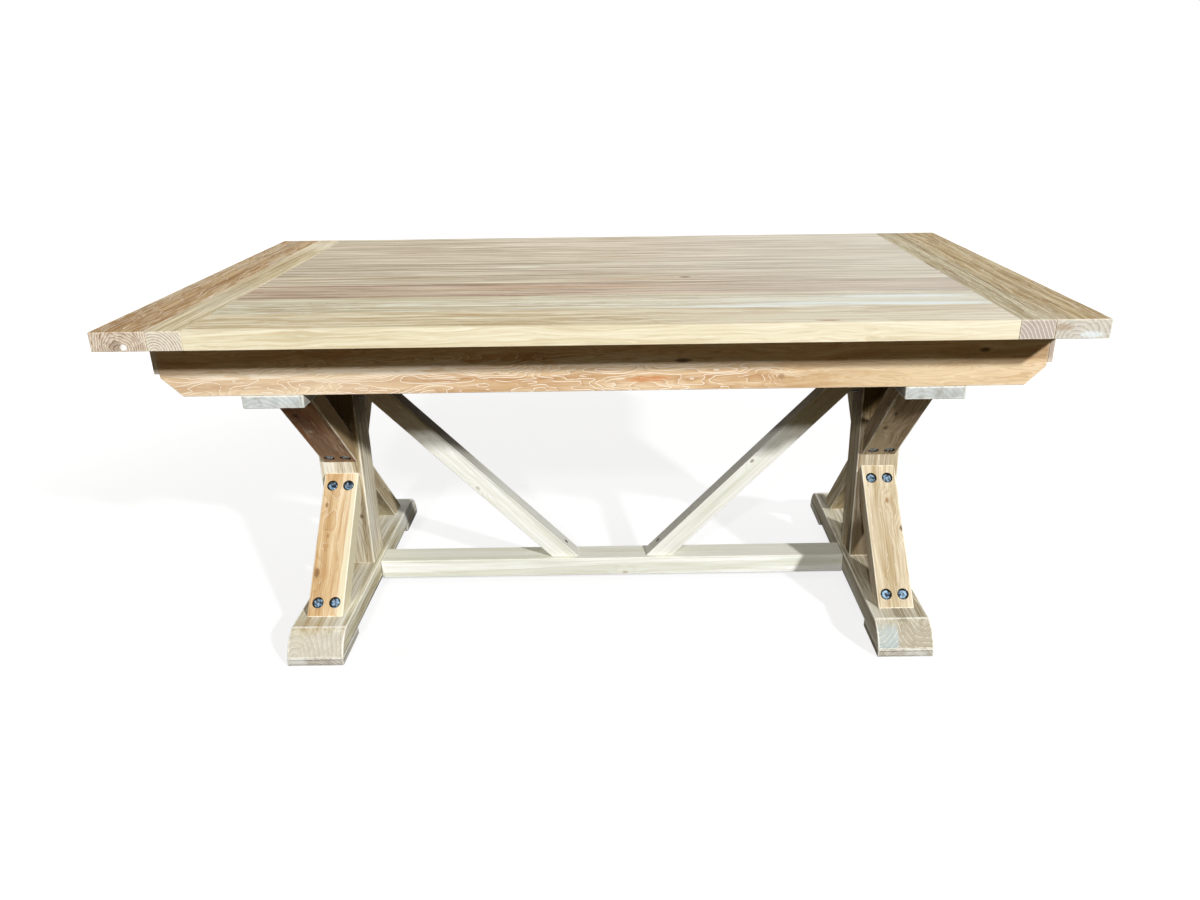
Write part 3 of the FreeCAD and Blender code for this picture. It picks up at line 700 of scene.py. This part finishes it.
braces = {
    "roundness": 0.0018, "angle": 45,
    "grain": {"along": "yz", "rings": 120, "lean": (0.8, 0.8), "sway": 0.014, "swayLength": (4, 14),
              "limeDepth": 0.6, "limeBreak": (0.5, 0.6), "patch": (232, 222, 196), "patchDepth": 0.2,
              "worn": (250, 244, 226), "wornDepth": 0.8},
    "left_front_lower": {
        "tones": ((194, 160, 112), (216, 189, 145), (230, 208, 170)), "late": (172, 120, 70),
        "lateDepth": 0.4,
        "marks": (mark((-670, -103, 255), (9, 6, 6), (140, 96, 52), 0.75, push=1.5),
                  mark((-674, -220, 138), (16, 8, 8), (126, 90, 56), 0.8, push=2.2),
                  mark((-659, -157, 201), (6, 4, 4), (150, 104, 60), 0.6, push=1.0),
                  mark((-600, -168, 190), (420, 19, 80), (232, 226, 196), 0.85, 0.15, 0.8)),
    },
    "right_front_lower": {
        "tones": ((180, 162, 126), (206, 193, 164), (224, 213, 188)), "late": (158, 124, 80),
        "lateDepth": 0.4,
        "marks": (mark((655, -109, 249), (9, 6, 6), (150, 112, 72), 0.75, push=2.0),
                  mark((682, -158, 200), (10, 9, 9), (96, 72, 48), 0.85, push=2.5)),
    },
    "left_front_upper": {
        "tones": ((136, 90, 62), (168, 120, 88), (190, 148, 112)), "late": (96, 58, 36), "lateDepth": 0.5,
        "marks": (mark((-662, -231, 525), (14, 8, 8), (60, 36, 20), 0.8, push=2.2),
                  mark((-657, -172, 466), (10, 5, 5), (230, 214, 190), 0.6, push=2.0),
                  mark((-600, -180, 490), (420, 9, 120), (164, 142, 106), 0.85, 0.15, 0.8)),
    },
    "right_front_upper": {
        "tones": ((148, 126, 98), (180, 158, 126), (200, 182, 152)), "late": (112, 88, 60),
        "marks": (mark((625, -208, 502), (12, 4, 4), (60, 44, 28), 0.8, push=1.5),
                  mark((622, -156, 450), (12, 8, 8), (74, 56, 38), 0.7, push=2.5)),
    },
    "back": {"tones": ((166, 150, 118), (194, 180, 148), (212, 202, 176)), "late": (146, 124, 88)},
}
for side, middle in (("left", -644), ("right", 644)):
    for end, face in (("front", -1), ("back", 1)):
        for level, rising in (("upper", -1), ("lower", 1)):
            name = "%s_%s_%s" % (side, end, level)
            finish = woodFinish(
                name + "BraceTeak", slope=-braces["angle"] * face * rising,
                pith=(middle - 15, face * 60, 320 - rising * 75), **braces["grain"],
                **braces.get(name, braces["back"]))
            dressNode(name + "_brace", finish, braces["roundness"])
print("braces done")

# bleached stretcher and the two sloping braces on it
stretcher = {
    "roundness": 0.0022, "pith": (0, 40, 10),
    "grain": {"tones": ((228, 232, 219), (251, 254, 249), (254, 255, 255)), "late": (204, 196, 170),
              "lateDepth": 0.3, "patch": (206, 206, 192), "worn": (248, 248, 240)},
    "marks": (mark((32, -33, 23), (9, 5, 5), (170, 160, 136), 0.6, push=2.0),
              # a greyer, darker top face: partly weathered tone, partly painted shade
              mark((0, 0, 65), (2000, 90, 5), (208, 207, 188), 0.55, 0.0, 0.6)),
}
finish = woodFinish("stretcherTeak", pith=stretcher["pith"], marks=stretcher["marks"], **stretcher["grain"])
dressNode("stretcher", finish, stretcher["roundness"])
diagonals = {
    "roundness": 0.0022,
    "grain": {"along": "xz", "rings": 140, "late": (204, 196, 170), "lateDepth": 0.3, "limeDepth": 0.35,
              "patch": (206, 206, 196), "patchDepth": 0.3, "worn": (248, 248, 240)},
    "left": {"slope": -45.8, "pith": (-300, 40, 300),
             "tones": ((226, 230, 217), (249, 252, 247), (253, 255, 254)),
             "marks": (mark((-325, -23, 257), (9, 5, 5), (176, 168, 148), 0.6, push=2.0),
                       # the next three marks are painted shade: a greyer top face, a browner upper end, and a
                       # darker top face near the upper end
                       mark((-330, 0, 317), (1200, 90, 6), (164, 164, 156), 0.5, 0.0, 0.6),
                       mark((-560, 0, 530), (270, 90, 140), (150, 122, 80), 0.65, core=0.2),
                       mark((-480, 0, 471), (330, 90, 6), (92, 76, 58), 0.65, 0.0, 0.3))},
    "right": {"slope": 45.8, "pith": (300, 40, 300),
              "tones": ((218, 222, 208), (239, 242, 236), (243, 245, 243)),
              "marks": (mark((344, -23, 319), (8, 5, 5), (140, 124, 98), 0.8, push=1.5),
                        # painted shade: a browner, darker upper end
                        mark((560, 0, 530), (270, 90, 140), (160, 132, 88), 0.6, core=0.2))},
}
for side in ("left", "right"):
    finish = woodFinish(side + "DiagonalTeak", **diagonals["grain"], **diagonals[side])
    dressNode(side + "_diagonal_brace", finish, diagonals["roundness"])
print("stretcher and sloping braces done")

# hidden carpentry under the top
hiddenWood = {
    "roundness": 0.001, "pegRoundness": 0.0004, "tones": ((168, 140, 104), (192, 166, 128), (206, 184, 150)),
}
finish = woodFinish("hiddenTeakX", pith=(0, 30, 650), tones=hiddenWood["tones"])
for nodeName in ("front_cleat", "back_cleat"):
    dressNode(nodeName, finish, hiddenWood["roundness"])
finish = woodFinish("hiddenTeakY", along="y", pith=(20, 0, 640), tones=hiddenWood["tones"])
for nodeName in ("middle_batten", "left_cross_rail", "right_cross_rail", "left_end_spline",
                 "right_end_spline"):
    dressNode(nodeName, finish, hiddenWood["roundness"])
dressNode("stretcher_pegs", finish, hiddenWood["pegRoundness"])
print("hidden carpentry done")


# coach screws, washers and wood screws
steelGrain = {
    "blotch": (160, 160, 160), "blotchShift": (3.1, 5.3, 1.7), "blotchSpan": (0.4, 0.62),
    "grit": (1500, 1500, 1500), "gritShift": (1.3, 2.9, 4.7),
    "roughSpan": 0.3, "bumpStrength": 0.2, "bumpDistance": 0.0003,
}


def steelFinish(name, dark, light, rough, metal):
    material = bpy.data.materials.new(name)
    material.use_nodes = True
    tree = material.node_tree
    shader = tree.nodes["Principled BSDF"]
    place = tree.nodes.new("ShaderNodeTexCoord").outputs["Object"]
    blotch = cloud(tree, place, steelGrain["blotch"], steelGrain["blotchShift"], 3.0)
    grit = cloud(tree, place, steelGrain["grit"], steelGrain["gritShift"])
    low, high = steelGrain["blotchSpan"]
    colour = ramp(tree, blotch, ((low, tone(*dark)), (high, tone(*light))))
    tree.links.new(colour, shader.inputs["Base Color"])
    shader.inputs["Metallic"].default_value = metal
    roughLow = rough - steelGrain["roughSpan"] / 2
    roughness = number(tree, "MULTIPLY_ADD", blotch, steelGrain["roughSpan"], roughLow)
    tree.links.new(roughness, shader.inputs["Roughness"])
    addBump(tree, shader, grit, steelGrain["bumpStrength"], steelGrain["bumpDistance"])
    return material


def islands(nodeName):  # the separate solids of a CAD node, as lists of points
    work = bmesh.new()
    work.from_mesh(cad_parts[nodeName].data)
    bmesh.ops.remove_doubles(work, verts=work.verts, dist=easing["weld"])
    left = set(work.verts)
    found = []
    for first in work.verts:
        if first not in left:
            continue
        left.remove(first)
        group = [first]
        for vert in group:
            for edge in vert.link_edges:
                other = edge.other_vert(vert)
                if other in left:
                    left.remove(other)
                    group.append(other)
        found.append([vert.co.copy() for vert in group])
    work.free()
    return found


def uprightTo(axis):  # turns +Z to an axis
    return Vector((0, 0, 1)).rotation_difference(axis).to_matrix().to_4x4()


def finishPiece(work, name, material, nodes):
    bmesh.ops.recalc_face_normals(work, faces=work.faces)
    for face in work.faces:
        face.smooth = True
    mesh = bpy.data.meshes.new(name)
    work.to_mesh(mesh)
    work.free()
    mesh.set_sharp_from_angle(angle=math.radians(screwShape["sharp"]))
    mesh.materials.append(material)
    piece = bpy.data.objects.new(name, mesh)
    scene.collection.objects.link(piece)
    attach(piece, "root")
    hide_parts(*nodes)


screwShape = {
    "headFlats": 0.019, "headHeight": 0.0075, "chamfer": 0.0016, "chamferDrop": 0.7,
    "shank": 0.006, "tip": 0.6, "tipReach": 0.0125, "shankSides": 16,
    "washer": 0.012, "washerHole": 0.0066, "washerThickness": 0.0025, "washerRim": 0.0007, "rimStart": 0.4,
    "washerSides": 28, "sharp": 35, "woodScrewRoundness": 0.0002,
}


def addHexScrew(work, seat, outward, length, turn):
    # hex head with a turned chamfer, and its shank down to the tip
    height = screwShape["headHeight"]
    radius = screwShape["headFlats"] / math.sqrt(3)
    place = Matrix.Translation(seat) @ uprightTo(outward) @ Matrix.Rotation(turn, 4, "Z")
    made = bmesh.ops.create_cone(work, cap_ends=True, segments=6, radius1=radius, radius2=radius,
                                 depth=height)
    verts = made["verts"]
    bmesh.ops.translate(work, verts=verts, vec=(0, 0, height / 2))
    top = [face for face in work.faces if face.normal.z > 0.9 and all(vert in verts for vert in face.verts)]
    inset = bmesh.ops.inset_region(work, faces=top, thickness=screwShape["chamfer"], depth=0.0)
    verts = list(set(verts) | set(vert for face in inset["faces"] for vert in face.verts))
    for vert in verts:
        if vert.co.z > height / 2 and vert.co.xy.length > radius - screwShape["chamfer"] / 2:
            vert.co.z -= screwShape["chamfer"] * screwShape["chamferDrop"]
    shank = bmesh.ops.create_cone(
        work, cap_ends=True, segments=screwShape["shankSides"], depth=length,
        radius1=screwShape["shank"] * screwShape["tip"], radius2=screwShape["shank"])
    bmesh.ops.translate(work, verts=shank["verts"], vec=(0, 0, -length / 2))
    bmesh.ops.transform(work, matrix=place, verts=verts + shank["verts"])


def addWasher(work, middle, outward):
    place = Matrix.Translation(middle) @ uprightTo(outward)
    half = screwShape["washerThickness"] / 2
    hole, rim = screwShape["washerHole"], screwShape["washer"]
    profile = [(hole, -half), (rim, -half), (rim, half * screwShape["rimStart"]),
               (rim - screwShape["washerRim"], half), (hole, half)]
    before = set(work.verts)
    verts = [work.verts.new((radius, 0, height)) for radius, height in profile]
    edges = [work.edges.new((verts[step], verts[(step + 1) % len(verts)])) for step in range(len(verts))]
    bmesh.ops.spin(work, geom=verts + edges, axis=(0, 0, 1), cent=(0, 0, 0), angle=2 * math.pi,
                   steps=screwShape["washerSides"], use_merge=True)
    bmesh.ops.transform(work, matrix=place, verts=[vert for vert in work.verts if vert not in before])


# blue steel is mottled dark and pale; the pale patches partly stand in for highlights, as painted highlight
boltSteel = steelFinish("blueSteel", (34, 49, 68), (156, 187, 212), 0.3, 0.4)
screwSteel = steelFinish("dullSteel", (120, 118, 110), (168, 166, 158), 0.45, 0.85)
turns = random.Random(7)
for group in ("left_brace", "right_brace", "bearer", "post"):
    washers = bmesh.new()
    screws = bmesh.new()
    bolts = islands(group + "_bolts")
    for points in islands(group + "_washers"):
        middle = sum(points, Vector()) / len(points)
        bolt = min(bolts, key=lambda cluster: min((point - middle).length for point in cluster))
        far = max(bolt, key=lambda point: (point - middle).length)
        tips = [point for point in bolt if (point - far).length < screwShape["tipReach"]]
        tip = sum(tips, Vector()) / len(tips)
        outward = (middle - tip).normalized()
        seat = middle + outward * screwShape["washerThickness"] / 2
        addWasher(washers, middle, outward)
        addHexScrew(screws, seat, outward, (seat - tip).length, turns.uniform(0, math.pi / 3))
    finishPiece(washers, group + "_washer_rings", boltSteel, [group + "_washers"])
    finishPiece(screws, group + "_hex_screws", boltSteel, [group + "_bolts"])
for nodeName in ("top_screws", "diagonal_screws"):
    dressNode(nodeName, screwSteel, screwShape["woodScrewRoundness"])
print("fasteners done")


def seenDirectly(tree):  # 1 for rays that show a surface, 0 for those that carry its light
    path = tree.nodes.new("ShaderNodeLightPath")
    seen = number(tree, "MAXIMUM", path.outputs["Is Camera Ray"], path.outputs["Is Glossy Ray"])
    return number(tree, "MAXIMUM", seen, path.outputs["Is Transmission Ray"])


# floor that the camera sees as white, with the table's shadow kept
stage = {"half": 30.0, "glow": 0.79, "shade": 0.27, "bounce": (0.05, 0.044, 0.036, 1), "fade": (1.2, 3.2)}
floorWork = bmesh.new()
bmesh.ops.create_grid(floorWork, x_segments=1, y_segments=1, size=stage["half"])
floorMesh = bpy.data.meshes.new("studio_floor")
floorWork.to_mesh(floorMesh)
floorWork.free()
floor = bpy.data.objects.new("studio_floor", floorMesh)
scene.collection.objects.link(floor)
paper = bpy.data.materials.new("floorPaper")
paper.use_nodes = True
tree = paper.node_tree
tree.nodes.remove(tree.nodes["Principled BSDF"])
shade = tree.nodes.new("ShaderNodeBsdfDiffuse")
shade.inputs["Color"].default_value = grey(stage["shade"])
glow = tree.nodes.new("ShaderNodeEmission")
coords = tree.nodes.new("ShaderNodeTexCoord")
farAway = rise(tree, vector(tree, "LENGTH", coords.outputs["Object"]), *stage["fade"])
strength = number(tree, "MULTIPLY_ADD", farAway, 1.0 - stage["glow"], stage["glow"])
tree.links.new(strength, glow.inputs["Strength"])
both = tree.nodes.new("ShaderNodeAddShader")
tree.links.new(shade.outputs[0], both.inputs[0])
tree.links.new(glow.outputs[0], both.inputs[1])
bounce = tree.nodes.new("ShaderNodeBsdfDiffuse")
bounce.inputs["Color"].default_value = stage["bounce"]
choose = tree.nodes.new("ShaderNodeMixShader")
tree.links.new(seenDirectly(tree), choose.inputs[0])
tree.links.new(bounce.outputs[0], choose.inputs[1])
tree.links.new(both.outputs[0], choose.inputs[2])
tree.links.new(choose.outputs[0], tree.nodes["Material Output"].inputs["Surface"])
floorMesh.materials.append(paper)

# world: white where it is seen, low as light
sky = {"level": 0.062, "tint": (1.0, 0.72, 0.40, 1)}
world = bpy.data.worlds.new("studio")
scene.world = world
world.use_nodes = True
tree = world.node_tree
background = tree.nodes["Background"]
seen = seenDirectly(tree)
tree.links.new(blendColour(tree, seen, sky["tint"], grey(1.0)), background.inputs["Color"])
level = number(tree, "MULTIPLY_ADD", seen, 1.0 - sky["level"], sky["level"])
tree.links.new(level, background.inputs["Strength"])

# lamps: two small ones in front, each throwing its own shadow of the top, and wide weak ones all round
white, warm = (1, 1, 1), (1.0, 0.78, 0.36)
lamps = {  # side and height in degrees from the aim, away and size in metres, power in watts
    "right": {"side": 43.0, "height": 27.1, "away": 12.0, "size": (0.55, 0.55), "power": 1460, "tint": white},
    "left": {"side": -10.0, "height": 30.6, "away": 12.0, "size": (0.55, 0.55), "power": 575, "tint": white},
    "above": {"side": 180.0, "height": 50.0, "away": 3.2, "size": (5.0, 2.0), "power": 37.0, "tint": white},
    "behind": {"side": 180.0, "height": 14.0, "away": 6.0, "size": (3.0, 1.2), "power": 42, "tint": white},
    "end": {"side": -90.0, "height": 14.0, "away": 6.0, "size": (2.4, 1.2), "power": 38, "tint": white},
    "front": {"side": 0.0, "height": 2.0, "away": 6.0, "size": (5.0, 1.2), "power": 15, "tint": warm},
}
aim = Vector((0, -0.35, 0.65))
for name, lamp in lamps.items():
    light = bpy.data.lights.new(name, "AREA")
    light.shape = "RECTANGLE"
    light.size, light.size_y = lamp["size"]
    light.energy = lamp["power"]
    light.color = lamp["tint"]
    stand = bpy.data.objects.new(name, light)
    scene.collection.objects.link(stand)
    side, height = math.radians(lamp["side"]), math.radians(lamp["height"])
    away = Vector((math.sin(side) * math.cos(height), -math.cos(side) * math.cos(height), math.sin(height)))
    stand.location = aim + away * lamp["away"]
    stand.rotation_euler = (-away).to_track_quat("-Z", "Y").to_euler()

# camera, placed from the photograph's lines
view = {
    "place": (0.042029, -2.060562, 1.172992), "yaw": 0.302, "pitch": 21.512, "roll": 0.705,
    "focal": 910.695, "middle": (631.716, 443.095), "image": (1200, 900), "sensor": 36.0,
}
yaw, pitch, roll = (math.radians(view[key]) for key in ("yaw", "pitch", "roll"))
ahead = Vector((math.sin(yaw) * math.cos(pitch), math.cos(yaw) * math.cos(pitch), -math.sin(pitch)))
level = Vector((math.cos(yaw), -math.sin(yaw), 0))
below = ahead.cross(level)
right = level * math.cos(roll) + below * math.sin(roll)
down = below * math.cos(roll) - level * math.sin(roll)
lens = bpy.data.cameras.new("photoCamera")
lens.sensor_width = view["sensor"]
lens.lens = view["focal"] / view["image"][0] * view["sensor"]
lens.shift_x = (view["image"][0] / 2 - view["middle"][0]) / view["image"][0]
lens.shift_y = (view["middle"][1] - view["image"][1] / 2) / view["image"][0]
lens.dof.use_dof = False
camera = bpy.data.objects.new("photoCamera", lens)
scene.collection.objects.link(camera)
turned = Matrix((right, -down, -ahead)).transposed().to_4x4()
camera.matrix_world = Matrix.Translation(view["place"]) @ turned
scene.camera = camera
print("stage, lamps and camera done")
